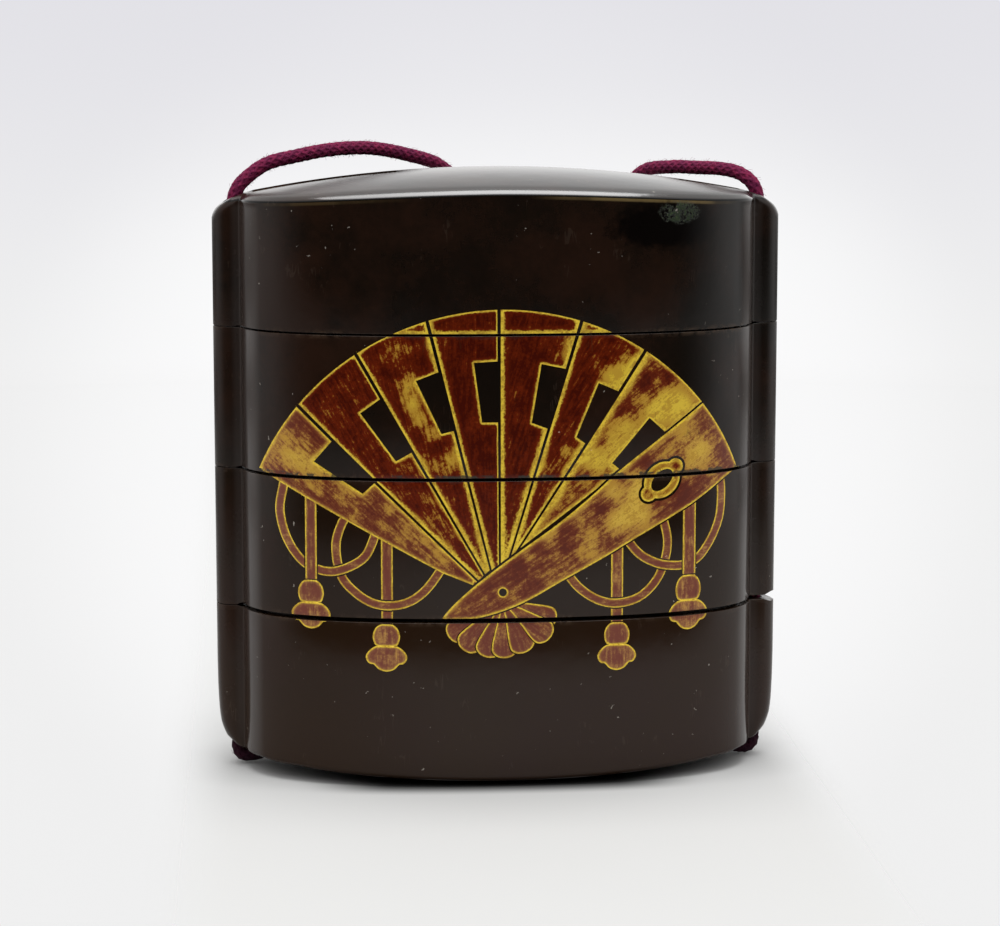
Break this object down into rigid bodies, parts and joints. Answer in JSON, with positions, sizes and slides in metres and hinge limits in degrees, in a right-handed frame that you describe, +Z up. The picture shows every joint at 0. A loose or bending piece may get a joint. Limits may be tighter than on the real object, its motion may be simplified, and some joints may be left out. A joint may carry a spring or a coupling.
{
  "type": "inro case",
  "caption": "Flat oval tiered lacquer case: a domed lid over nesting cases, threaded on a silk cord through ribs on its narrow ends.",
  "frame": {"origin": "middle of the underside, on the surface that the case stands on", "axes": "+Z up through the lid, +X to the right seen from the decorated front, +Y to the plain back"},
  "size_m": [0.062, 0.0294, 0.0685],
  "materials": {
    "lacquer": "polished brown-black lacquer over wood, gold and red picture on the front",
    "silk_cord": "round braided silk, matt"
  },
  "bodies": {
    "root": {"lid": "lacquer", "upper_case": "lacquer", "middle_case": "lacquer", "lower_case": "lacquer", "cord_loop": "silk_cord", "cord_threaded": "silk_cord"}
  },
  "joints": []
}
